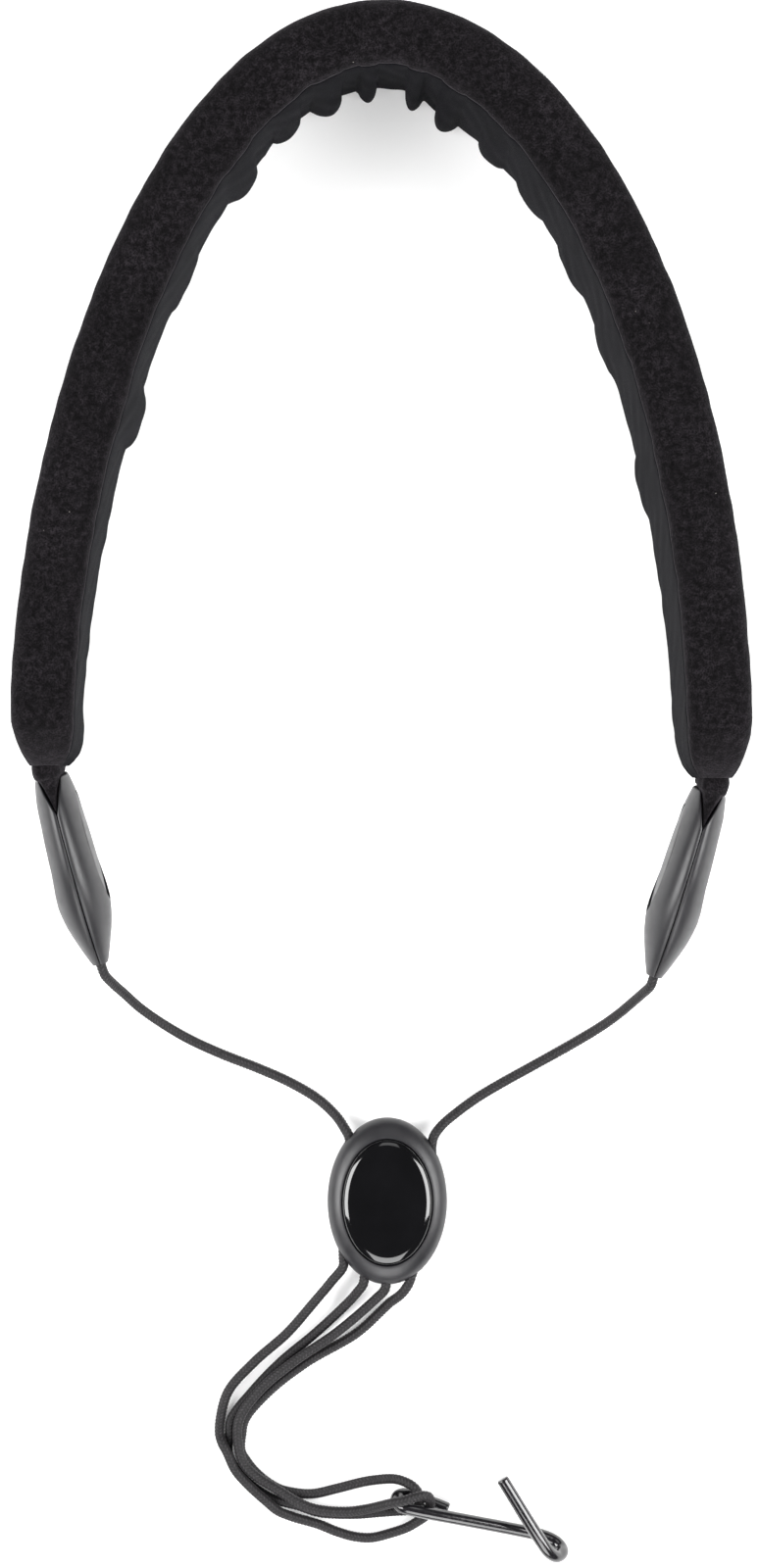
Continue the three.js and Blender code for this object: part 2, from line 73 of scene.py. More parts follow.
# ---------------------------------------------------------------- materials
class Finish:
    """A procedural material under construction: a Principled shader and the nodes that feed it."""

    def __init__(self, name, roughness, specular=0.5, metallic=0.0):
        self.material = bpy.data.materials.new(name)
        self.material.use_nodes = True
        self.tree = self.material.node_tree
        self.shader = self.tree.nodes["Principled BSDF"]
        self.shader.inputs["Roughness"].default_value = roughness
        self.shader.inputs["Specular IOR Level"].default_value = specular
        self.shader.inputs["Metallic"].default_value = metallic
        self.place = self.tree.nodes.new("ShaderNodeTexCoord").outputs["Object"]

    def node(self, kind, **inputs):
        node = self.tree.nodes.new(kind)
        for name, value in inputs.items():
            socket = node.inputs[name.replace("_", " ")]
            if isinstance(value, bpy.types.NodeSocket):
                self.tree.links.new(value, socket)
            else:
                socket.default_value = value
        return node

    def noise(self, size, detail=2.0, stretch=(1, 1, 1), place=None):
        """Noise whose grains are about `size` millimetres across."""
        grid = self.node("ShaderNodeMapping", Vector=place or self.place, Scale=stretch)
        found = self.node(
            "ShaderNodeTexNoise", Vector=grid.outputs[0], Scale=1 / (size * MM), Detail=detail
        )
        return found.outputs["Fac"]

    def ramp(self, factor, *stops):
        """A ramp from (position, colour) stops, colours as grey numbers or triples."""
        node = self.node("ShaderNodeValToRGB", Fac=factor)
        elements = node.color_ramp.elements
        while len(elements) < len(stops):
            elements.new(0.5)
        for element, (position, colour) in zip(elements, stops):
            triple = (colour,) * 3 if isinstance(colour, (int, float)) else colour
            element.position = position
            element.color = (*triple, 1)
        return node.outputs["Color"]

    def mix(self, factor, first, second, blend="MIX"):
        node = self.tree.nodes.new("ShaderNodeMix")
        node.data_type = "RGBA"
        node.blend_type = blend
        for socket, value in zip((node.inputs[0], node.inputs[6], node.inputs[7]),
                                 (factor, first, second)):
            if isinstance(value, bpy.types.NodeSocket):
                self.tree.links.new(value, socket)
            else:
                socket.default_value = value if isinstance(value, float) else (*value, 1)
        return node.outputs[2]

    def math(self, operation, first, second=0.0):
        node = self.tree.nodes.new("ShaderNodeMath")
        node.operation = operation
        for socket, value in zip(node.inputs, (first, second)):
            if isinstance(value, bpy.types.NodeSocket):
                self.tree.links.new(value, socket)
            else:
                socket.default_value = value
        return node.outputs[0]

    def attribute(self, name):
        node = self.tree.nodes.new("ShaderNodeAttribute")
        node.attribute_name = name
        return node.outputs["Fac"]

    def feed(self, socket, value):
        self.tree.links.new(value, self.shader.inputs[socket])

    def bump(self, height, depth, strength=1.0, below=None):
        """Relief `depth` millimetres deep."""
        node = self.node("ShaderNodeBump", Height=height, Strength=strength, Distance=depth * MM)
        if below is not None:
            self.tree.links.new(below, node.inputs["Normal"])
        return node.outputs["Normal"]

    def sheen(self, weight, roughness, tint):
        self.shader.inputs["Sheen Weight"].default_value = weight
        self.shader.inputs["Sheen Roughness"].default_value = roughness
        self.shader.inputs["Sheen Tint"].default_value = (*tint, 1)


def velour_finish():
    """Short cut pile: near-black fibre tips with painted sparkle as a fine pale speckle, and a few specks
    of dust.
    """
    f = Finish("velour", 1.0, specular=0.08)
    pile = f.noise(0.42, 2)
    tufts = f.noise(1.5, 3)
    brushed = f.noise(13, 2)
    # painted sparkle: the pile's colour is paler where its relief stands higher
    colour = f.ramp(pile, (0.36, (0.0012, 0.001, 0.0013)), (0.66, (0.0088, 0.0076, 0.0088)))
    shade = f.ramp(brushed, (0.3, 0.72), (0.72, 1.2))
    colour = f.mix(1.0, colour, shade, "MULTIPLY")
    clump = f.ramp(tufts, (0.36, 0.4), (0.64, 1.7))
    colour = f.mix(1.0, colour, clump, "MULTIPLY")
    dust = f.node("ShaderNodeTexVoronoi", Vector=f.place, Scale=1 / (3.4 * MM), Randomness=1.0)
    speck = f.ramp(dust.outputs["Distance"], (0.03, 1.0), (0.055, 0.0))
    rare = f.ramp(f.noise(5.0, 1), (0.6, 0.0), (0.66, 1.0))
    colour = f.mix(f.mix(1.0, speck, rare, "MULTIPLY"), colour, (0.16, 0.15, 0.14))
    f.feed("Base Color", colour)
    f.sheen(0.07, 0.5, (0.6, 0.55, 0.62))
    coarse = f.bump(tufts, 0.35, 0.5)
    f.feed("Normal", f.bump(pile, 0.28, 0.8, coarse))
    return f.material


def lining_finish():
    """Smooth warp knit, bluish black, with fine ribs that run round the pad."""
    f = Finish("lining_knit", 0.8, specular=0.05)
    uv = f.node("ShaderNodeUVMap").outputs[0]
    wave = f.node("ShaderNodeTexWave", Vector=uv, Scale=1.0, Distortion=0.6, Detail=1.0)
    wave.bands_direction = "X"
    rows = f.node("ShaderNodeTexWave", Vector=uv, Scale=0.7, Distortion=0.8, Detail=1.0)
    rows.bands_direction = "Y"
    fibre = f.noise(0.35, 2)
    shade = f.noise(9, 2)
    knit = f.math("ADD", f.math("MULTIPLY", wave.outputs["Fac"], 0.6),
                  f.math("MULTIPLY", rows.outputs["Fac"], 0.4))
    colour = f.ramp(shade, (0.3, (0.0011, 0.0011, 0.0018)), (0.75, (0.0023, 0.0022, 0.0034)))
    grain = f.ramp(fibre, (0.3, 0.7), (0.7, 1.25))
    colour = f.mix(1.0, colour, grain, "MULTIPLY")
    colour = f.mix(1.0, colour, f.ramp(knit, (0.1, 0.75), (0.9, 1.15)), "MULTIPLY")
    f.feed("Base Color", colour)
    f.sheen(0.014, 0.4, (0.62, 0.6, 0.78))
    f.feed("Normal", f.bump(fibre, 0.08, 0.5, f.bump(knit, 0.1, 0.6)))
    return f.material


def foam_finish():
    """Open-cell foam."""
    f = Finish("foam", 0.95, specular=0.2)
    cells = f.node("ShaderNodeTexVoronoi", Vector=f.place, Scale=1 / (1.1 * MM))
    f.feed("Base Color", f.ramp(cells.outputs["Distance"], (0.1, 0.012), (0.6, 0.06)))
    f.feed("Normal", f.bump(cells.outputs["Distance"], 0.4, 0.8))
    return f.material


def webbing_finish():
    """Woven nylon tape: ribs across and fine yarns."""
    f = Finish("webbing", 0.75, specular=0.3)
    wave = f.node("ShaderNodeTexWave", Vector=f.place, Scale=900.0, Distortion=1.0, Detail=1.0)
    wave.bands_direction = "Z"
    f.feed("Base Color", f.ramp(wave.outputs["Fac"], (0.1, 0.006), (0.9, 0.02)))
    f.feed("Normal", f.bump(wave.outputs["Fac"], 0.15, 0.7))
    return f.material


def satin_finish():
    """Moulded plastic with a fine spark-eroded texture, rubbed slightly smoother in places."""
    f = Finish("satin_plastic", 0.42, specular=0.5)
    grain = f.noise(0.16, 3)
    cloud = f.noise(7, 3)
    rub = f.noise(2.2, 4, stretch=(1, 0.5, 1))
    colour = f.ramp(cloud, (0.3, (0.0072, 0.0068, 0.0085)), (0.72, (0.0105, 0.01, 0.012)))
    colour = f.mix(1.0, colour, f.ramp(grain, (0.32, 0.82), (0.68, 1.16)), "MULTIPLY")
    f.feed("Base Color", colour)
    rough = f.mix(0.45, f.ramp(cloud, (0.3, 0.36), (0.7, 0.46)),
                  f.ramp(rub, (0.35, 0.34), (0.7, 0.47)))
    f.feed("Roughness", rough)
    f.feed("Normal", f.bump(grain, 0.02, 0.55))
    return f.material


def gloss_finish():
    """Polished black plastic with faint wiping marks."""
    f = Finish("gloss_plastic", 0.07, specular=0.5)
    wipe = f.noise(1.6, 5, stretch=(3, 0.4, 1))
    haze = f.noise(8, 2)
    f.feed("Base Color", f.ramp(haze, (0.3, (0.0014, 0.0014, 0.0018)), (0.8, (0.0026, 0.0026, 0.0032))))
    f.feed("Roughness", f.ramp(wipe, (0.35, 0.05), (0.75, 0.115)))
    f.shader.inputs["Coat Weight"].default_value = 0.3
    f.shader.inputs["Coat Roughness"].default_value = 0.03
    return f.material


def cord_finish():
    """Braided polyester: charcoal yarns with a painted highlight on their crowns and painted shade in the
    gaps between them.
    """
    f = Finish("cord", 0.62, specular=0.32)
    height = f.attribute("relief")
    yarn = f.attribute("yarn")
    fibre = f.noise(0.12, 2)
    # painted highlight and shade: brightest on the yarns' crowns and darkest in the gaps, by the braid's
    # height
    colour = f.ramp(height, (0.15, (0.0012, 0.001, 0.0012)), (0.62, (0.0075, 0.0068, 0.0078)),
                    (1.0, (0.026, 0.0235, 0.026)))
    colour = f.mix(1.0, colour, f.ramp(yarn, (0.0, 0.72), (1.0, 1.28)), "MULTIPLY")
    colour = f.mix(1.0, colour, f.ramp(fibre, (0.3, 0.7), (0.7, 1.3)), "MULTIPLY")
    f.feed("Base Color", colour)
    f.sheen(0.12, 0.4, (0.7, 0.68, 0.7))
    f.feed("Normal", f.bump(fibre, 0.03, 0.5))
    return f.material


def steel_finish():
    f = Finish("steel", 0.35, metallic=1.0)
    drawn = f.noise(0.4, 3, stretch=(1, 1, 0.1))
    f.feed("Base Color", f.ramp(drawn, (0.3, 0.42), (0.7, 0.6)))
    f.feed("Roughness", f.ramp(drawn, (0.3, 0.28), (0.7, 0.42)))
    return f.material


def wire_finish():
    """Glossy dark coating on steel wire, slightly uneven, with small rubs."""
    f = Finish("coated_wire", 0.2, specular=0.6)
    uneven = f.noise(3.2, 3)
    rub = f.noise(0.9, 4)
    f.feed("Base Color", f.ramp(uneven, (0.3, (0.0035, 0.0032, 0.0042)), (0.75, (0.0068, 0.0062, 0.0078))))
    f.feed("Roughness", f.ramp(rub, (0.35, 0.14), (0.72, 0.27)))
    f.feed("Normal", f.bump(uneven, 0.05, 0.5))
    f.shader.inputs["Coat Weight"].default_value = 0.4
    f.shader.inputs["Coat Roughness"].default_value = 0.12
    return f.material


VELOUR = velour_finish()
LINING = lining_finish()
FOAM = foam_finish()
WEBBING = webbing_finish()
SATIN = satin_finish()
GLOSS = gloss_finish()
CORD = cord_finish()
STEEL = steel_finish()
WIRE = wire_finish()


# ---------------------------------------------------------------- mesh tools
def make_piece(name, points, faces, finish, smooth_angle=None, closed=True):
    """A new object from points in millimetres. A closed body's faces are turned outwards."""
    mesh = bpy.data.meshes.new(name)
    mesh.from_pydata((np.asarray(points, float) * MM).tolist(), [], [tuple(f) for f in faces])
    mesh.validate()
    if closed:
        shape = bmesh.new()
        shape.from_mesh(mesh)
        bmesh.ops.recalc_face_normals(shape, faces=shape.faces)
        shape.to_mesh(mesh)
        shape.free()
    mesh.update()
    mesh.materials.append(finish)
    piece = bpy.data.objects.new(name, mesh)
    bpy.context.scene.collection.objects.link(piece)
    if smooth_angle is None:
        mesh.shade_smooth()
    else:
        set_smooth(piece, smooth_angle)
    return piece


def set_smooth(piece, degrees):
    """Smooth shading, with edges sharper than the angle left crisp."""
    mesh = piece.data
    mesh.shade_smooth()
    mesh.set_sharp_from_angle(angle=math.radians(degrees))


def apply_modifiers(piece):
    """Makes the piece's modifiers part of its mesh."""
    bpy.context.view_layer.update()
    graph = bpy.context.evaluated_depsgraph_get()
    mesh = bpy.data.meshes.new_from_object(piece.evaluated_get(graph))
    piece.modifiers.clear()
    piece.data = mesh


def ring_faces(rings, sides):
    """Quads between closed rings of `sides` points each."""
    return [
        (row * sides + i, row * sides + (i + 1) % sides,
         (row + 1) * sides + (i + 1) % sides, (row + 1) * sides + i)
        for row in range(rings - 1)
        for i in range(sides)
    ]


def strip_faces(rows, columns):
    """Quads of an open grid."""
    return [
        (row * columns + i, row * columns + i + 1,
         (row + 1) * columns + i + 1, (row + 1) * columns + i)
        for row in range(rows - 1)
        for i in range(columns - 1)
    ]


def capped_faces(rings, sides):
    """Quads between rings, and a flat face over each end."""
    last = (rings - 1) * sides
    return ring_faces(rings, sides) + [
        tuple(range(sides))[::-1],
        tuple(range(last, last + sides)),
    ]


SPAN_POINTS = 24  # fine points between two given ones, before they are spaced out evenly


def smooth_route(points, step):
    """The centripetal Catmull-Rom line through the points, with a point every `step` millimetres."""
    p = np.array(points, float)
    p = np.vstack([2 * p[0] - p[1], p, 2 * p[-1] - p[-2]])
    fine = []
    for a, b, c, d in zip(p, p[1:], p[2:], p[3:]):
        t1 = np.linalg.norm(b - a) ** 0.5
        t2 = t1 + np.linalg.norm(c - b) ** 0.5
        t3 = t2 + np.linalg.norm(d - c) ** 0.5
        for t in np.linspace(t1, t2, SPAN_POINTS, endpoint=False):
            ab = a + (b - a) * t / t1
            bc = b + (c - b) * (t - t1) / (t2 - t1)
            cd = c + (d - c) * (t - t2) / (t3 - t2)
            abc = ab + (bc - ab) * t / t2
            bcd = bc + (cd - bc) * (t - t1) / (t3 - t1)
            fine.append(abc + (bcd - abc) * (t - t1) / (t2 - t1))
    return resampled(np.array(fine + [p[-2]]), step)


def resampled(line, step):
    """The same line with its points evenly spaced, about `step` apart."""
    along = np.concatenate([[0], np.cumsum(np.linalg.norm(np.diff(line, axis=0), axis=1))])
    count = max(2, round(along[-1] / step) + 1)
    places = np.linspace(0, along[-1], count)
    return np.stack([np.interp(places, along, line[:, k]) for k in range(line.shape[1])], axis=1)


def carried_frames(line):
    """Two directions square to the line at each point, which don't twist as they go."""
    tangents = np.gradient(line, axis=0)
    tangents /= np.linalg.norm(tangents, axis=1)[:, None]
    side = np.cross(tangents[0], (0.0, 0.0, 1.0))
    if np.linalg.norm(side) < 0.1:  # the line sets out nearly upright
        side = np.cross(tangents[0], (1.0, 0.0, 0.0))
    sides = []
    for tangent in tangents:
        side = side - tangent * side.dot(tangent)
        side = side / np.linalg.norm(side)
        sides.append(side)
    sides = np.array(sides)
    return sides, np.cross(tangents, sides)


def tube_points(line, radii, sides):
    """Rings round the line; radii is one number, one per ring, or one per ring and side."""
    first, second = carried_frames(line)
    angles = np.linspace(0, 2 * math.pi, sides, endpoint=False)
    radii = np.broadcast_to(np.asarray(radii, float).reshape(
        (-1, 1) if np.ndim(radii) == 1 else np.shape(radii)), (len(line), sides))
    ring = (np.cos(angles)[None, :, None] * first[:, None, :]
            + np.sin(angles)[None, :, None] * second[:, None, :])
    return (line[:, None, :] + radii[:, :, None] * ring).reshape(-1, 3)


# ---------------------------------------------------------------- braided cord
CORD_DIAMETER = 2.6
BRAID_RELIEF = 0.24
BRAID_CARRIERS = 8  # yarns in each direction
BRAID_PITCH = 7.0  # length in which a yarn goes once round
YARN_ROUNDNESS = 0.55  # across a yarn: less is flatter on top
YARN_DIP = 0.35  # height of a yarn where it goes under, as a share of its top
YARN_ARCH = 0.7  # along a yarn: less is flatter on top
CORD_STEP = 0.2
CORD_SIDES = 40


def braid(turn, along):
    """A two-over-two braid at a place round (in turns) and along the cord: height and yarn, 0 to 1."""
    left = BRAID_CARRIERS * (turn + along / BRAID_PITCH)
    right = BRAID_CARRIERS * (turn - along / BRAID_PITCH)
    i, j = np.floor(left), np.floor(right)
    over = (i + j) % 4 < 2
    across = np.where(over, left - i, right - j)
    place = np.where(over, (i + j) % 4 + right - j, (i + j) % 4 - 2 + left - i) / 2
    rounded = np.sin(math.pi * across) ** YARN_ROUNDNESS
    arched = YARN_DIP + (1 - YARN_DIP) * np.sin(math.pi * place) ** YARN_ARCH
    return rounded * arched, np.where(over, i * 0.37 + 0.2, j * 0.61 + 0.5) % 1


def store_braid(piece, height, yarn):
    """Keeps the braid's height and yarn at each point, for the cord's material."""
    for label, values in (("relief", height), ("yarn", yarn)):
        attribute = piece.data.attributes.new(label, "FLOAT", "POINT")
        attribute.data.foreach_set("value", np.asarray(values).reshape(-1).astype(np.float32))


def braided_tube(name, line, start=0.0):
    """A braided cord along the line; start is how far along its braid the line begins."""
    along = start + CORD_STEP * np.arange(len(line))[:, None]
    turn = (np.arange(CORD_SIDES) / CORD_SIDES)[None, :]
    height, yarn = braid(turn + 0 * along, along + 0 * turn)
    radii = CORD_DIAMETER / 2 - BRAID_RELIEF * (1 - height)
    points = tube_points(line, radii, CORD_SIDES)
    piece = make_piece(name, points, capped_faces(len(line), CORD_SIDES), CORD)
    store_braid(piece, height, yarn)
    return piece


# Routes of the free cords: the CAD part's to within 0.2 mm, with the ends run on into the slider.
UPPER_LEFT_POD_HALF = [
    (-70.3, -228.1, 20.4), (-69.6, -230.2, 19.3), (-67.9, -232.5, 16), (-65.2, -235.4, 11.5),
    (-61.5, -239.2, 7), (-56, -243.4, 3.6), (-49.5, -247.4, 1.8), (-41.3, -251.2, 1.35),
]
UPPER_LEFT_SLIDER_HALF = [
    (-31.8, -254.9, 1.35), (-23.5, -258.6, 1.4), (-16.4, -262.8, 2),
    (-11.8, -267, 3.4), (-9.7, -269.9, 5.2), (-8.6, -271.9, 5.8),
    (-8.35, -274, 5.8), (-8.6, -277, 5.8),
]
UPPER_RIGHT_POD_HALF = [
    (67.5, -231.1, 20.3), (66.9, -233, 19.2), (65.3, -235, 15.5), (63, -237.5, 11),
    (60, -240.5, 6.8), (55.8, -243.9, 3.4), (50.2, -247.5, 1.8), (43.6, -251.3, 1.35),
]
UPPER_RIGHT_SLIDER_HALF = [
    (37.1, -254.9, 1.35), (30.4, -258.6, 1.35), (24, -262.4, 1.7),
    (18.6, -266.2, 3), (14.8, -269.3, 5.1), (12.9, -271.9, 5.8),
    (12.35, -274.5, 5.8), (12.4, -277.5, 5.8),
]
LOWER_LOOP_OUTER = [
    (-10.15, -299, 5.8), (-10, -302.5, 5.8), (-10.1, -304.9, 5.8), (-13, -308.7, 5),
    (-17.8, -314.7, 2.6), (-24.3, -322.3, 1.4),
    (-32.8, -329.8, 1.3), (-39.4, -337.3, 1.3), (-41.4, -344.3, 1.4), (-41.5, -348.1, 2.5),
    (-40.8, -350.1, 3.7), (-39.6, -352.3, 4.05), (-37.5, -356.8, 4), (-34.1, -360.7, 4),
    (-29.5, -364.9, 3.9), (-26.8, -367.3, 3), (-23.3, -369, 1.8), (-16.4, -371.1, 1.35),
    (-11.9, -372.9, 1.35), (-7.4, -374.2, 1.35), (-2.9, -374.5, 1.35), (1.4, -373.5, 1.35),
    (5.9, -372, 1.35), (9.1, -370.1, 1.7), (11.1, -368.3, 3.2), (11.9, -366.4, 4.5),
    (12, -364.3, 5.7), (11.3, -363, 7.1), (9.9, -362.6, 8.2), (7.8, -362.9, 9),
    (5.3, -363.6, 9.6), (2.3, -364.3, 9.1), (-0.6, -365.4, 7), (-4.1, -366.6, 4.8),
    (-9.6, -367.4, 4.1), (-17.7, -366.6, 4), (-22.3, -364.6, 4), (-27.4, -361.4, 4),
    (-32.2, -358.4, 4), (-35.2, -355.4, 4), (-36.5, -351.8, 4), (-36.6, -344.4, 3.9),
    (-31.6, -336.9, 3.95), (-22.8, -329.4, 4), (-11.8, -321.9, 4), (-1.6, -313, 5),
    (0.5, -310.6, 5.8), (0.88, -307.5, 5.8), (0.86, -304, 5.8),
]
LOWER_LOOP_INNER = [
    (-4.6, -303, 5.8), (-4.65, -306.5, 5.8), (-5, -309.3, 5.8), (-6.5, -311.5, 4.9),
    (-9.1, -314.7, 2.4), (-17.1, -322.3, 1.35),
    (-26.1, -329.8, 1.35), (-33.3, -337.3, 1.35), (-38.6, -344.3, 1.35), (-39.1, -348.5, 1.35),
    (-39.4, -352.8, 1.35), (-37.2, -357.3, 1.35), (-33.6, -361.1, 1.35), (-28.1, -364.6, 1.35),
    (-21.6, -366.3, 1.35), (-16.4, -368, 1.35), (-7.4, -368.5, 1.35), (-0.4, -368, 1.35),
    (3.4, -367.7, 1.35), (6.4, -367.5, 1.6), (8.3, -367, 3), (9.1, -365.5, 4.6),
    (9.2, -363.4, 5.3), (8.2, -361.3, 5.3), (5.6, -359.8, 4.2), (2.9, -359.3, 2.7),
    (-1.4, -359.7, 1.5), (-5.1, -360.3, 1.35), (-11.9, -362, 1.35), (-17.9, -363.3, 1.35),
    (-22.8, -363, 1.35), (-26.8, -361.9, 1.35), (-31.6, -358.6, 1.35), (-34.5, -355.3, 1.35),
    (-36.2, -352.3, 1.35), (-36, -348.3, 1.35), (-35.1, -344.3, 1.35), (-29.1, -337.3, 1.35),
    (-19.4, -329.8, 1.35), (-6.6, -322.3, 1.35), (1.6, -314.6, 2.8), (4.6, -312, 5),
    (6.4, -309.5, 5.8), (7.5, -306.5, 5.8), (8.6, -303.2, 5.8),
]

POD_LENGTH = 48.4
PODS = {
    "left": {"mouth": (-82.5, -180.6, 25), "tip": (-70.5, -227.4, 20.5)},
    "right": {"mouth": (81.2, -184.2, 25), "tip": (67.8, -230, 20.5)},
}
KNOT_DEPTH = 33  # from the mouth to the middle of the knot
KNOT_TO_TIP = (38, 42, 46)  # depths in the pod that the cord passes on its way to the tip
SLIDER_CENTRE = (1.1, -288.2)


def upper_cord(hand, pod_half, slider_half):
    """One cord from the knot in the pod to the slider, as two pieces that meet end to end."""
    pod = PODS[hand]
    mouth, tip = np.array(pod["mouth"], float), np.array(pod["tip"], float)
    inside = [mouth + (tip - mouth) * depth / POD_LENGTH for depth in KNOT_TO_TIP]
    line = smooth_route([*inside, *pod_half, *slider_half], CORD_STEP)
    split = pod_half[-1]
    cut = int(np.argmin(np.linalg.norm(line - split, axis=1)))
    first = braided_tube(f"upper_cord_{hand}_pod_half_braid", line[:cut + 1])
    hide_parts(f"upper_cord_{hand}_pod_half")
    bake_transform(first)
    second = braided_tube(f"upper_cord_{hand}_slider_half_braid", line[cut:], cut * CORD_STEP)
    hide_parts(f"upper_cord_{hand}_slider_half")
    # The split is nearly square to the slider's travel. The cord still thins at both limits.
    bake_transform(second)


def lower_loop(name, route):
    line = smooth_route(route, CORD_STEP)
    piece = braided_tube(f"{name}_braid", line)
    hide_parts(name)
    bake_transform(piece)


upper_cord("left", UPPER_LEFT_POD_HALF, UPPER_LEFT_SLIDER_HALF)
upper_cord("right", UPPER_RIGHT_POD_HALF, UPPER_RIGHT_SLIDER_HALF)
lower_loop("lower_loop_outer", LOWER_LOOP_OUTER)
lower_loop("lower_loop_inner", LOWER_LOOP_INNER)

# ---------------------------------------------------------------- cords and pin in the slider
MIDDLE = 5.8  # height of the cords, and of the parting between the shells
TURN_PIN = (-2.95, -7)
TURN_RADIUS = 2.65


def slider_cord(name, route):
    centre = np.array((*SLIDER_CENTRE, 0))
    piece = braided_tube(f"{name}_braid", smooth_route([centre + p for p in route], CORD_STEP))
    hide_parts(name)
    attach(piece, "slider")


def arc_points(centre, radius, start, end, steps):
    angles = np.radians(np.linspace(start, end, steps + 1))
    return [(centre[0] + radius * math.cos(a), centre[1] + radius * math.sin(a)) for a in angles]


bight = [(-5.66, -15), (-5.65, -13), *arc_points(TURN_PIN, TURN_RADIUS, 180, 0, 6),
         (-0.25, -13), (-0.24, -15.8)]
left = [(-9.8, 11.4), (-10.6, 8), (-11.4, 0), (-11.3, -8), (-11.25, -11)]
right = [(11.3, 11), (11.4, 6), (10.4, -4), (8.2, -13), (7.6, -15)]
for side, route in (("left", left), ("right", right), ("bight", bight)):
    slider_cord(f"slider_cord_{side}", [(x, y, MIDDLE) for x, y in route])

# ---------------------------------------------------------------- hook
HOOK_DIAMETER = 3.2
HOOK_SIDES = 40
HOOK_STEP = 0.4
HOOK_EDGE = 0.3  # rounding of the wire's ends
END_ROWS = (0, 0.12, 0.3)  # distances from an end of the rows that make the rounding
HOOK_ROUTE = [
    (16.6, -367.1, 2.2), (11.9, -365.3, 1.7), (6.7, -363.5, 1.65), (5.1, -363.3, 2.1),
    (3.8, -363.6, 3.1), (3.4, -364.2, 4.5), (3.8, -364.9, 5.95), (5, -365.7, 7),
    (6.7, -366.1, 7.4), (10.8, -367, 7.4), (36.3, -372.7, 2.8), (41.3, -374.1, 1.9),
    (44, -375.5, 1.9), (45.4, -376.9, 3), (45.4, -377.7, 5.1), (44, -378.1, 7.3),
    (42.1, -376.8, 9.2), (39.9, -373.7, 10.4), (30, -357.6, 12),
]


def rounded_tube(line, radius, sides, edge):
    """A tube whose flat ends have a small rounded edge."""
    radii = np.full(len(line), float(radius))
    for place, less in enumerate((edge, 0.45 * edge, 0.12 * edge)):
        radii[place] -= less
        radii[-1 - place] -= less
    return tube_points(line, radii, sides)


def hook():
    line = smooth_route(HOOK_ROUTE, HOOK_STEP)
    along = np.concatenate([[0], np.cumsum(np.linalg.norm(np.diff(line, axis=0), axis=1))])
    places = np.concatenate([END_ROWS, np.arange(0.6, along[-1] - 0.5, HOOK_STEP),
                             [along[-1] - distance for distance in reversed(END_ROWS)]])
    line = np.stack([np.interp(places, along, line[:, k]) for k in range(3)], axis=1)
    points = rounded_tube(line, HOOK_DIAMETER / 2, HOOK_SIDES, HOOK_EDGE)
    piece = make_piece("hook_wire_coated", points, capped_faces(len(line), HOOK_SIDES), WIRE,
                       40)
    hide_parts("hook_wire")
    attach(piece, "hook")


hook()

# ---------------------------------------------------------------- slider shells
SLIDER_HALF = (15.15, 21.1)
SLIDER_SEGMENTS = 128
SHARE_SPAN = 20
# Shares of the oval's half sizes, and heights. The outer faces are smooth lines through the rows.
CORE = 0.02  # the shells' profiles stop just short of the axis
PARTING = (MIDDLE - GAP / 2, MIDDLE + GAP / 2)
FRONT_RIM = [(0.962, PARTING[1]), (0.992, MIDDLE + 0.3), (1, 6.5), (0.988, 7.3), (0.95, 8.4),
             (0.9, 9.25), (0.84, 9.9), (0.79, 10.25), (0.768, 10.3), (0.7595, 10.15),
             (0.758, 9.9), (0.758, 9.2)]
BACK_BOWL = [(0.5, 0.12), (0.62, 0.28), (0.8, 1), (0.93, 2.7), (0.985, 4.2), (1, 5),
             (0.992, MIDDLE - 0.3), (0.962, PARTING[0])]
FRONT_HOLLOW = [(CORE, 8.1), (0.77, 8.1), (0.78, 8.0), (0.78, PARTING[1])]
BACK_HOLLOW = [(0.78, PARTING[0]), (0.78, 3.6), (0.77, 3.5), (CORE, 3.5)]
INLAY_DOME = [(0.752, 9.3), (0.752, 10.1), (0.747, 10.35), (0.736, 10.6), (0.72, 10.85),
              (0.7, 11.05), (0.67, 11.25), (0.62, 11.42), (0.4, 11.57), (0.2, 11.67), (0.05, 11.7)]


def oval_lathe(name, profile, finish, smooth_angle=None, segments=SLIDER_SEGMENTS):
    """A solid turned about the slider's centre and stretched to its oval."""
    angles = np.linspace(0, 2 * math.pi, segments, endpoint=False)
    cx, cy = SLIDER_CENTRE
    points = [
        (cx + SLIDER_HALF[0] * share * math.cos(a), cy + SLIDER_HALF[1] * share * math.sin(a), z)
        for share, z in profile
        for a in angles
    ]
    piece = make_piece(name, points, capped_faces(len(profile), segments), finish,
                       smooth_angle)
    return piece


def smooth_profile(rows, step=0.02):
    """More rows between the given ones, on a smooth line; a whole share counts as 20 mm in the spacing."""
    scaled = np.array([(share * SHARE_SPAN, height) for share, height in rows])
    flat = np.hstack([scaled, np.zeros((len(rows), 1))])
    fine = smooth_route(flat, step * SHARE_SPAN)
    return [(x / SHARE_SPAN, z) for x, z, _ in fine]


def slider():
    front = [*FRONT_HOLLOW, *smooth_profile(FRONT_RIM), (CORE, FRONT_RIM[-1][1])]
    front_piece = oval_lathe("slider_front_rim", front, SATIN, 32)
    back = [(CORE, 0.1), *smooth_profile(BACK_BOWL), *BACK_HOLLOW]
    back_piece = oval_lathe("slider_back_bowl", back, SATIN, 32)
    inlay = [(CORE, 9.25), *smooth_profile(INLAY_DOME, 0.01), (0.004, INLAY_DOME[-1][1])]
    inlay_piece = oval_lathe("slider_inlay_dome", inlay, GLOSS, 50)
    for piece, node in ((front_piece, "slider_front_shell"), (back_piece, "slider_back_shell"),
                        (inlay_piece, "slider_front_inlay")):
        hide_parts(node)
    return front_piece, back_piece, inlay_piece


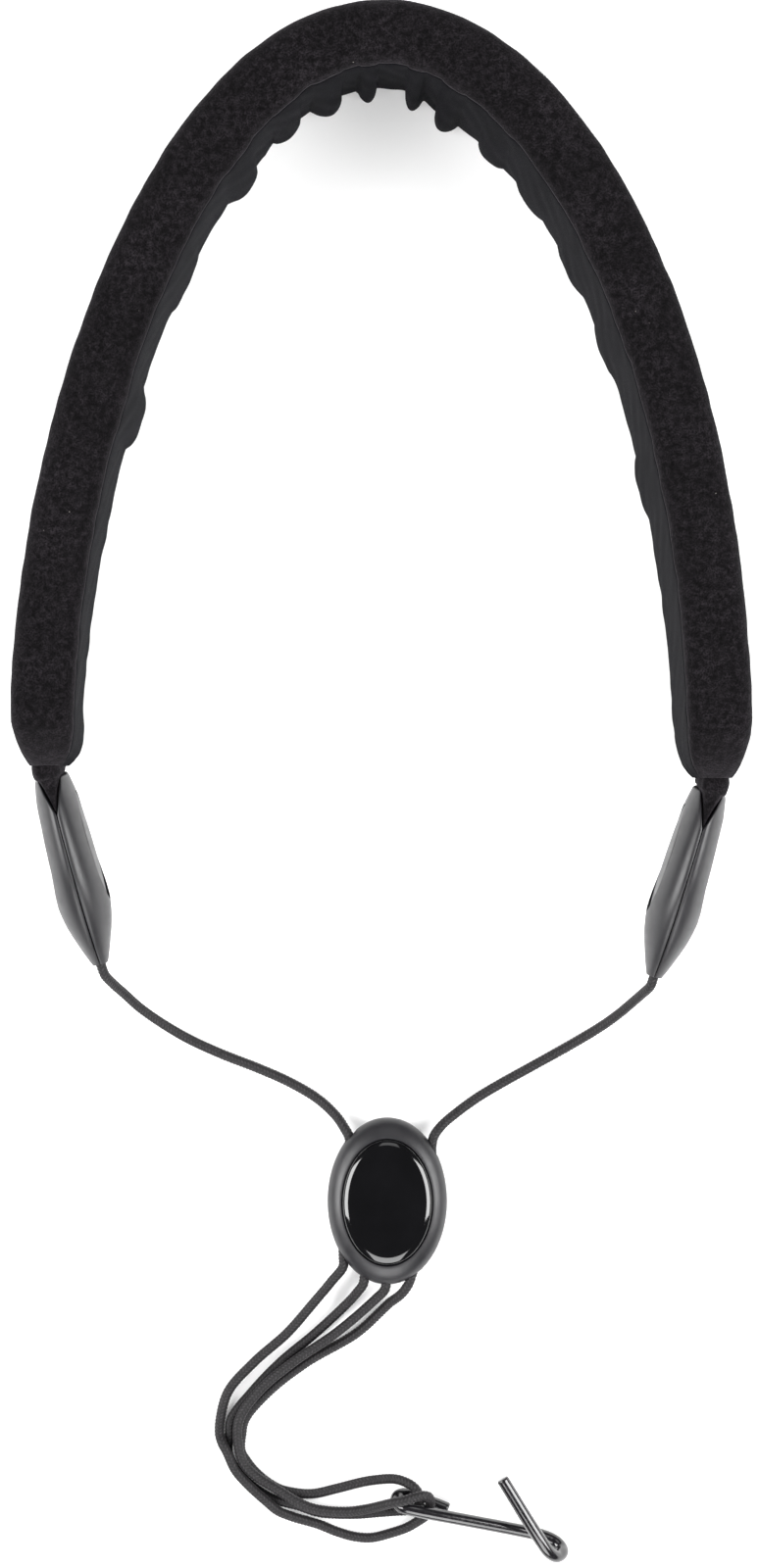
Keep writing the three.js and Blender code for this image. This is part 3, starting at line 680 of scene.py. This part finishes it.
def cut_holes(piece, tools, smooth_angle):
    """Cuts the tools out of the piece."""
    for tool in tools:
        modifier = piece.modifiers.new("cut", "BOOLEAN")
        modifier.operation = "DIFFERENCE"
        modifier.solver = "EXACT"
        modifier.object = tool
    apply_modifiers(piece)
    set_smooth(piece, smooth_angle)


def cord_hole_tool(start, end, radius=1.65, sides=28):
    centre = np.array((*SLIDER_CENTRE, 0))
    first, last = (centre + np.array((*place, MIDDLE)) for place in (start, end))
    line = np.linspace(first, last, 3)
    return make_piece("cutter", tube_points(line, radius, sides), capped_faces(3, sides), SATIN)


# where each cord hole starts and ends, from the slider's centre
HOLE_ENDS = [
    ((-9.9, 11), (-8.7, 21)), ((11.3, 10), (12.3, 20)), ((-11.2, -10), (-11, -21)),
    ((-5.65, -12), (-5.7, -26)), ((-0.25, -12), (-0.2, -27)), ((8.0, -13), (4.6, -26)),
]
shells = slider()
for shell in shells[:2]:
    tools = [cord_hole_tool(*ends) for ends in HOLE_ENDS]
    cut_holes(shell, tools, 32)
    for tool in tools:
        bpy.data.objects.remove(tool, do_unlink=True)
for shell in shells:
    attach(shell, "slider")

# ---------------------------------------------------------------- pods
# distance from the mouth, half thickness, half width
POD_SECTIONS = [
    (0, 4.2, 11.2), (5, 5.1, 13.2), (13, 5.9, 14.5), (22, 6.5, 14.6), (30, 6.8, 13.2),
    (37, 5.9, 10.6), (43.5, 3.9, 6.9), (46.6, 2.75, 4.5), (POD_LENGTH, 2.0, 2.9),
]
POD_WALL = 1.3
MOUTH = {"half_width": 3.0, "depth": 8.5}
LIP_ROWS = (0, 0.003, 0.009)  # shares of the length that round the lip, and how far each is set in
LIP_INSETS = (0.5, 0.18, 0.04)
INLAY = {"centre": 19, "half_length": 14, "half_width": 8, "floor": 4.4, "top": 5.4, "tilt": 2}


def pod_matrix(hand):
    """+Z from the mouth to the tip, +Y up the broad faces, +X across the seam."""
    mouth, tip = (Vector(PODS[hand][end]) for end in ("mouth", "tip"))
    along = (tip - mouth).normalized()
    across = Vector((0, 0, 1)).cross(along).normalized()
    up = along.cross(across)
    return Matrix.Translation(mouth * MM) @ Matrix((across, up, along)).transposed().to_4x4()


def pod_size(distance):
    fine = smooth_route([(z, a, b) for z, a, b in POD_SECTIONS], 0.5)
    return (np.interp(distance, fine[:, 0], fine[:, 1]),
            np.interp(distance, fine[:, 0], fine[:, 2]))


def soft_step(value):
    value = np.clip(value, 0, 1)
    return value * value * (3 - 2 * value)


def half_shell(name, side, rows=72, columns=44):
    """One moulded half: an outer face, a rounded lip round its V mouth, and a hollow inside."""
    angle = np.radians(np.linspace(-90, 90, columns))
    at_mouth = POD_SECTIONS[0][1] * np.cos(angle)
    start = MOUTH["depth"] * np.clip(1 - at_mouth / MOUTH["half_width"], 0, 1) ** 1.15
    others = rows - len(LIP_ROWS)
    shares = np.concatenate([LIP_ROWS, np.linspace(0.02, 1, others)])
    insets = np.concatenate([LIP_INSETS, np.zeros(others)])
    points = []
    for share, inset in zip(shares, insets):
        z = start + (POD_LENGTH - start) * share
        a, b = pod_size(z)
        edge_round = 0.22 * np.clip(1 - np.abs(np.cos(angle)) * a / 0.6, 0, 1) ** 2
        outer = np.stack([GAP / 2 + (a - GAP / 2 - inset) * np.cos(angle),
                          (b - edge_round - inset * 0.6) * np.sin(angle), z], axis=1)
        # the wall thins out towards the solid tip
        wall = POD_WALL * soft_step((POD_LENGTH + 3 - z) / 12)
        inner = np.stack([GAP / 2 + np.maximum(a - wall - GAP / 2, 0.1) * np.cos(angle),
                          np.maximum(b - wall - 0.4, 0.2) * np.sin(angle), z], axis=1)[::-1]
        points += [*outer, *inner]
    points = np.array(points)
    points[:, 0] *= side
    sides = 2 * columns
    faces = ring_faces(rows, sides)
    for row, order in ((0, 1), (rows - 1, -1)):
        base = row * sides
        for i in range(columns - 1):
            quad = (base + i, base + sides - 1 - i, base + sides - 2 - i, base + i + 1)
            faces.append(quad[::order])
    if side < 0:
        faces = [face[::-1] for face in faces]
    return make_piece(name, points, [face[::-1] for face in faces], SATIN)


def oval_plate(name, side, half_width, half_length, levels, finish):
    """A raised oval plate on a broad face; levels are (inset from the outline, height)."""
    segments = 96
    angles = np.linspace(0, 2 * math.pi, segments, endpoint=False)
    tilt = math.radians(INLAY["tilt"])
    points = []
    for inset, height in levels:
        for a in angles:
            y = (half_width - inset) * math.sin(a)
            z = (half_length - inset) * math.cos(a)
            x = height * math.cos(tilt) + z * math.sin(tilt)
            points.append((side * x, y, INLAY["centre"] + z * math.cos(tilt)))
    faces = capped_faces(len(levels), segments)
    if side < 0:
        faces = [face[::-1] for face in faces]
    return make_piece(name, points, [face[::-1] for face in faces], finish, 35)


def pod(hand):
    place = pod_matrix(hand)
    neck_side = 1 if hand == "left" else -1
    for face, side in (("inner", neck_side), ("outer", -neck_side)):
        shell = half_shell(f"{hand}_pod_{face}_half", side)
        width, length = INLAY["half_width"], INLAY["half_length"]
        recess = oval_plate("cutter", side, width + GAP, length + GAP,
                            [(0, INLAY["floor"]), (0, INLAY["floor"] + 4)], SATIN)
        cut_holes(shell, [recess], 35)
        bpy.data.objects.remove(recess, do_unlink=True)
        top = INLAY["top"]
        levels = [(0, INLAY["floor"] + GAP), (0, top - 0.35), (0.1, top - 0.12), (0.35, top),
                  (2.5, top + 0.06), (5, top + 0.1)]
        inlay = oval_plate(f"{hand}_pod_{face}_plate", side, width, length, levels, SATIN)
        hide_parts(f"{hand}_pod_{face}_shell")
        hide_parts(f"{hand}_pod_{face}_inlay")
        for piece in (shell, inlay):
            piece.matrix_world = place
            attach(piece, f"{hand}_pod")


def knot(hand):
    """The stopper knot inside the pod: a ball of braided cord."""
    rings, sides, radius = 40, 56, 2.9
    points, heights, yarns = [], [], []
    for row in range(rings):
        latitude = math.pi * (row + 0.5) / rings
        turn = np.arange(sides) / sides
        height, yarn = braid(turn, np.full(sides, radius * latitude))
        r = radius - BRAID_RELIEF * (1 - height)
        ring = np.stack([r * math.sin(latitude) * np.cos(2 * math.pi * turn),
                         r * math.sin(latitude) * np.sin(2 * math.pi * turn),
                         KNOT_DEPTH - r * math.cos(latitude)], axis=1)
        points += [*ring]
        heights += [*height]
        yarns += [*yarn]
    piece = make_piece(f"{hand}_cord_knot_braid", points, capped_faces(rings, sides), CORD)
    store_braid(piece, heights, yarns)
    piece.matrix_world = pod_matrix(hand)
    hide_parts(f"{hand}_cord_knot")
    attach(piece, f"{hand}_pod")


for hand in PODS:
    pod(hand)
    knot(hand)

# ---------------------------------------------------------------- padded arch
PAD = {"half": 8.0, "height": 50.0, "corner": 5.0, "wall": 1.1}
PAD_TOP = 0.5
# the arms' control points: roundness at the top, where the arm straightens, and its end
PAD_ARMS = {
    "left": {"handle": -48, "side": (-84, -96), "end": (-83, -178)},
    "right": {"handle": 42, "side": (83, -75), "end": (82, -181)},
}
PAD_LEAN = {"reach": 1.5, "fade": 60}  # the neck side stands further in at the resting edge
SEAM = {"degrees": 12.5, "depth": 0.15, "width": 1.4}  # on the corners of the neck side
# distance from the end, then the half thickness outside and inside, and the half height
PAD_TAPER = [
    (0, 3.5, 4, 13), (1, 4.2, 5, 15), (3, 5.3, 6.3, 18),
    (6, 6.5, 7.3, 21), (10, 7.6, 7.9, 24), (14, 8, 8, 25),
]
# folds where the lining is squeezed by the bend: place along the arch, height, half width
FOLDS = [
    (-120, 2, 8), (-82, 1, 8), (-51, 2, 6), (-32, 2, 5), (-18, 3, 5), (-5, 3, 3), (10, 3.5, 3),
    (22, 3, 4), (39, 1.5, 5), (56, 1, 6), (78, 1, 7), (101, 1, 7), (138, 1, 8),
]
# where the lining is drawn in between the folds: middle, depth, half length
DRAWN = [(-14, 2.5, 36), (-110, 1.5, 100)]
DRAW_EDGE = 16
FOLD_ROUNDNESS = 0.6  # 1 is a pointed fold, less is fuller
FOLD_FADE = 0.8  # how much of a fold is gone at the upper seam
PLEAT_SHARE = 0.42  # height of a pleat on the top edge, as a share of its fold
COVER_WAVE = 0.22  # unevenness of the faces, strongest on the neck side
EDGE_WAVE = 0.2  # a second unevenness, strongest on the outside
TOP_WAVE = 0.12  # unevenness of the upper and lower edges
CROWN = 0.3  # how far the middle of a face stands out
GATHER = {"depth": 0.35, "fade": 3.5}  # the puckers at the ends
LOWEST = 0.05  # height of the surface's lowest points
ARM_STEPS = 800
END_STATIONS = (0, 0.3, 0.6, 1.1, 1.6, 2.4, 3.2, 4.2, 5.4, 6.6)
FOLDED_REACH = 45  # the tightest folds lie within this distance of the top of the arch
FOAM_INSET = 1.7
FOAM_GAP = 0.9  # about half the space between the foam layers, where the load strap lies


def bezier(a, b, c, d, steps):
    t = np.linspace(0, 1, steps)[:, None]
    a, b, c, d = (np.array(p, float) for p in (a, b, c, d))
    return a * (1 - t) ** 3 + 3 * b * t * (1 - t) ** 2 + 3 * c * t * t * (1 - t) + d * t ** 3


def pad_line():
    """The middle line of the pad as fine points, and how far along the arch each one is."""
    top = (0, PAD_TOP)
    halves = [
        bezier(top, (arm["handle"], PAD_TOP), arm["side"], arm["end"], ARM_STEPS)
        for arm in PAD_ARMS.values()
    ]
    line = np.vstack([halves[0][::-1], halves[1][1:]])
    along = np.concatenate([[0], np.cumsum(np.linalg.norm(np.diff(line, axis=0), axis=1))])
    return line, along - along[ARM_STEPS - 1]


PAD_LINE, PAD_ALONG = pad_line()
PAD_FIRST, PAD_LAST = PAD_ALONG[0], PAD_ALONG[-1]


def pad_stations():
    """Places along the arch, closest at the ends and where the lining folds."""
    places = [PAD_FIRST + distance for distance in END_STATIONS]
    while places[-1] < PAD_LAST - 8:
        spacing = 0.55 if abs(places[-1]) < FOLDED_REACH else 1.3
        places.append(places[-1] + spacing)
    places += [PAD_LAST - distance for distance in reversed(END_STATIONS)]
    return np.array(places)


def arc_row(cn, cz, radius, start, end, count):
    angles = np.radians(np.linspace(start, end, count))
    return [(cn + radius * math.cos(a), cz + radius * math.sin(a)) for a in angles]


def pad_section(inset=0.0):
    """The whole section from the bottom middle, up the outside, over the top and down the inside."""
    face, radius = PAD["half"] - PAD["corner"], PAD["corner"] - inset
    low, high = PAD["corner"], PAD["height"] - PAD["corner"]
    rows = [(n, inset) for n in np.linspace(0, face, 4)[:-1]]
    rows += arc_row(face, low, radius, -90, 0, 10)
    rows += [(PAD["half"] - inset, z) for z in np.linspace(low, high, 26)[1:-1]]
    rows += arc_row(face, high, radius, 0, 90, 10)
    rows += [(n, PAD["height"] - inset) for n in np.linspace(face, -face, 9)[1:-1]]
    rows += arc_row(-face, high, radius, 90, 180, 12)
    rows += [(inset - PAD["half"], z) for z in np.linspace(high, low, 26)[1:-1]]
    rows += arc_row(-face, low, radius, 180, 270, 12)
    rows += [(n, inset) for n in np.linspace(-face, 0, 4)[1:-1]]
    return np.array(rows)


def fold_height(place):
    """How far the lining stands in from its plain shape at a place along the arch."""
    drawn = np.zeros_like(place)
    for centre, depth, half_length in DRAWN:
        reach = soft_step((half_length - np.abs(place - centre)) / DRAW_EDGE)
        drawn = np.minimum(drawn, -depth * reach)
    height = drawn
    for centre, bulge, half_width in FOLDS:
        share = np.clip(1 - ((place - centre) / half_width) ** 2, 0, 1)
        height = np.maximum(height, drawn + bulge * share ** FOLD_ROUNDNESS)
    return height


def ripple(place, height, seed):
    """Slow unevenness of a hand-stretched cover, from -1 to 1."""
    source = random.Random(seed)
    total = np.zeros(np.broadcast(place, height).shape)
    for wavelength in (7, 9, 13, 19, 31):
        phase, lean = source.uniform(0, 6.28), source.uniform(-0.8, 0.8)
        total = total + np.sin(2 * math.pi * (place + lean * height) / wavelength + phase)
    return total / 5


def pad_surface(section, stations):
    """Points of the pad's skin: rows along the arch, columns round the section."""
    n, z = section[:, 0][None, :], section[:, 1][None, :]
    s = stations[:, None]
    half, height = PAD["half"], PAD["height"]
    inward = soft_step((-n - 1.0) / 5.5)  # 1 on the lining's face, 0 on the outer half
    from_outside = np.clip((half - n) / (2 * half), 0, 1)
    high = soft_step((z - 8) / 38)
    # the folds lean a little and fade towards the top edge
    leaning = s + 2.0 * high * np.sign(s + 3) * (1 - from_outside) - 0.6 * high
    fold = fold_height(leaning) * inward * (1 - FOLD_FADE * high)
    # and run on over the top edge as shallow pleats
    over_top = soft_step((z - height + 6) / 6) * soft_step(from_outside * 1.25 - 0.15) * (1 - inward)
    pleat = PLEAT_SHARE * fold_height(leaning) * over_top
    wave = COVER_WAVE * ripple(s, z, 5) * (0.4 + 0.6 * from_outside)
    edge_wave = EDGE_WAVE * ripple(s, n * 3, 11) * (1 - from_outside)
    crown = CROWN * np.sin(math.pi * np.clip(z / height, 0, 1)) * np.abs(n) / half
    n_moved = n + np.sign(n) * crown + wave * np.sign(n) + edge_wave - fold
    seam_height = height / 2 - PAD["corner"] * (1 - math.sin(math.radians(SEAM["degrees"])))
    beside_seam = (np.abs(z - height / 2) - seam_height) / SEAM["width"]
    n_moved = n_moved + SEAM["depth"] * np.exp(-beside_seam ** 2) * inward
    top = np.sign(z - height / 2)
    z_moved = z + top * (pleat * 0.9 + TOP_WAVE * ripple(s, n * 2, 23)) - 0.1
    to_end = np.minimum(s - PAD_FIRST, PAD_LAST - s)
    lean = PAD_LEAN["reach"] * np.minimum(to_end / PAD_LEAN["fade"], 1) * (1 - z / height)
    n_moved = n_moved * np.where(n < 0, 1 + lean / half, 1)
    # thinner at both ends
    taper = np.array(PAD_TAPER)
    outside = np.interp(to_end, taper[:, 0], taper[:, 1]) / half
    inside = np.interp(to_end, taper[:, 0], taper[:, 2]) / half
    upright = np.interp(to_end, taper[:, 0], taper[:, 3]) / (height / 2)
    gather = GATHER["depth"] * np.exp(-to_end / GATHER["fade"]) * np.cos(z * 1.55 + 0.6 * n)
    n_moved = n_moved * np.where(n > 0, outside, inside) + gather * np.sign(n)
    z_moved = height / 2 + (z_moved - height / 2) * upright
    px = np.interp(s, PAD_ALONG, PAD_LINE[:, 0])
    py = np.interp(s, PAD_ALONG, PAD_LINE[:, 1])
    tangent = np.gradient(PAD_LINE, PAD_ALONG, axis=0)
    tx = np.interp(s, PAD_ALONG, tangent[:, 0])
    ty = np.interp(s, PAD_ALONG, tangent[:, 1])
    size = np.hypot(tx, ty)
    x = px - ty / size * n_moved
    y = py + tx / size * n_moved
    return np.stack([x, y, np.maximum(z_moved, LOWEST)], axis=2)


def add_uv(piece, values):
    """One UV pair for each point, in millimetres."""
    layer = piece.data.uv_layers.new(name="UVMap")
    index = np.zeros(len(piece.data.loops), np.int32)
    piece.data.loops.foreach_get("vertex_index", index)
    layer.data.foreach_set("uv", np.asarray(values, np.float32)[index].reshape(-1))


def thicken(piece, depth):
    """Gives a sheet its thickness, inwards, so that it is a closed body."""
    modifier = piece.modifiers.new("skin", "SOLIDIFY")
    modifier.thickness = depth * MM
    modifier.offset = -1
    apply_modifiers(piece)
    piece.data.shade_smooth()


def skin(name, surface, columns, section, stations, finish):
    """A strip of the pad's surface as a closed skin; columns are those of the section it covers."""
    part = surface[:, columns, :]
    rows, count = part.shape[:2]
    faces = strip_faces(rows, count)
    piece = make_piece(name, part.reshape(-1, 3), faces, finish, closed=False)
    girth = np.concatenate([[0], np.cumsum(np.linalg.norm(np.diff(section[columns], axis=0), axis=1))])
    place = np.repeat(stations[:, None], count, axis=1)
    around = np.repeat(girth[None, :], rows, axis=0)
    add_uv(piece, np.stack([place.reshape(-1), around.reshape(-1)], axis=1))
    thicken(piece, PAD["wall"])
    return piece


def pad():
    section, stations = pad_section(), pad_stations()
    surface = pad_surface(section, stations)
    face = PAD["half"] - PAD["corner"]
    edge = -face - PAD["corner"] * math.cos(math.radians(SEAM["degrees"]))
    lined = [i for i, n in enumerate(section[:, 0]) if n <= edge + 1e-6]
    first, last = lined[0], lined[-1]
    velour_columns = [*range(last, len(section)), *range(0, first + 1)]
    cover = skin("pad_velour", surface, velour_columns, section, stations, VELOUR)
    lining = skin("pad_lining_skin", surface, lined, section, stations, LINING)
    for piece, node in ((cover, "pad_cover"), (lining, "pad_lining")):
        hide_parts(node)
        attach(piece, "strap_pad")
    foam_section = pad_section(FOAM_INSET)
    inner = pad_surface(foam_section, stations[8:-8])
    for name, side in (("foam_outer_layer", 1), ("foam_inner_layer", -1)):
        columns = np.nonzero(side * foam_section[:, 0] > FOAM_GAP)[0]
        part = inner[:, columns, :]
        rows, count = part.shape[:2]
        faces = [face[::-1] for face in capped_faces(rows, count)]
        piece = make_piece(f"{name}_cells", part.reshape(-1, 3), faces, FOAM)
        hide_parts(name)
        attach(piece, "strap_pad")


pad()

# ---------------------------------------------------------------- necks between pad and pods
# distance past the mouth, half thickness, half width
NECK_ROWS = [(-5, 3.1, 12.4), (-3.4, 3.7, 13), (-1.6, 3.8, 12.9), (-0.6, 3.6, 12.4), (0, 2.9, 11.7),
             (1.6, 2.25, 11.9), (3.2, 1.7, 12.3), (5, 1.1, 12.8), (6.8, 0.52, 13.1), (8, 0.2, 13.1)]
NECK_SQUARENESS = 0.55  # 1 is an oval section, less is squarer
NECK_CREASE = 0.04  # depth of the creases, as a share of the half thickness


def squared(values):
    return np.sign(values) * np.abs(values) ** NECK_SQUARENESS


def neck(hand):
    fine = smooth_route(NECK_ROWS, 0.5)
    sides = 64
    angles = np.linspace(0, 2 * math.pi, sides, endpoint=False)
    points = []
    for z, a, b in fine:
        crease = 1 + NECK_CREASE * np.cos(9 * angles + 0.4 * z)
        x = a * crease * squared(np.cos(angles))
        y = b * squared(np.sin(angles))
        points += [*np.stack([x, y, np.full(sides, z)], axis=1)]
    faces = [face[::-1] for face in capped_faces(len(fine), sides)]
    piece = make_piece(f"{hand}_neck_velour", points, faces, VELOUR)
    piece.matrix_world = pod_matrix(hand)
    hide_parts(f"{hand}_tab_sleeve")
    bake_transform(piece)


for hand in PODS:
    neck(hand)

# ---------------------------------------------------------------- CAD nodes that stay
for name, finish in (
    ("load_strap", WEBBING), ("left_tab_webbing", WEBBING), ("right_tab_webbing", WEBBING),
    ("left_tab_pin", STEEL), ("right_tab_pin", STEEL), ("slider_turn_pin", STEEL),
):
    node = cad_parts[name]
    node.data.materials.clear()
    node.data.materials.append(finish)

# ---------------------------------------------------------------- floor and light
FLOOR = 3.0  # metres from the middle to an edge
floor_mesh = bpy.data.meshes.new("floor")
floor_mesh.from_pydata([(-FLOOR, -FLOOR, 0), (FLOOR, -FLOOR, 0), (FLOOR, FLOOR, 0),
                        (-FLOOR, FLOOR, 0)], [], [(0, 1, 2, 3)])
floor = bpy.data.objects.new("floor", floor_mesh)
bpy.context.scene.collection.objects.link(floor)
paper = Finish("floor_paper", 0.9, specular=0.1)
paper.feed("Base Color", paper.ramp(paper.noise(40, 2), (0.2, 0.86), (0.8, 0.88)))
paper.shader.inputs["Emission Color"].default_value = (1, 1, 1, 1)
paper.shader.inputs["Emission Strength"].default_value = 0.16
floor_mesh.materials.append(paper.material)

# name, place and size in metres, and power in watts
LAMPS = [
    ("left_light", (-0.95, -0.2, 0.8), 0.8, 24),
    ("right_light", (0.95, -0.2, 0.8), 0.8, 24),
    ("low_light", (0.0, -1.25, 0.85), 0.9, 16),
    ("high_light", (0.1, 0.95, 1.2), 0.8, 3),
]
for name, location, size, power in LAMPS:
    lamp = bpy.data.lights.new(name, "AREA")
    lamp.shape = "SQUARE"
    lamp.size = size
    lamp.energy = power
    holder = bpy.data.objects.new(name, lamp)
    holder.location = location
    holder.rotation_euler = (VIEW_CENTRE - Vector(location)).to_track_quat("-Z", "Y").to_euler()
    bpy.context.scene.collection.objects.link(holder)

world = bpy.data.worlds.new("studio")
world.use_nodes = True
world.node_tree.nodes["Background"].inputs["Color"].default_value = (1, 1, 1, 1)
world.node_tree.nodes["Background"].inputs["Strength"].default_value = 0.1
bpy.context.scene.world = world
bpy.context.scene.view_settings.view_transform = "Standard"
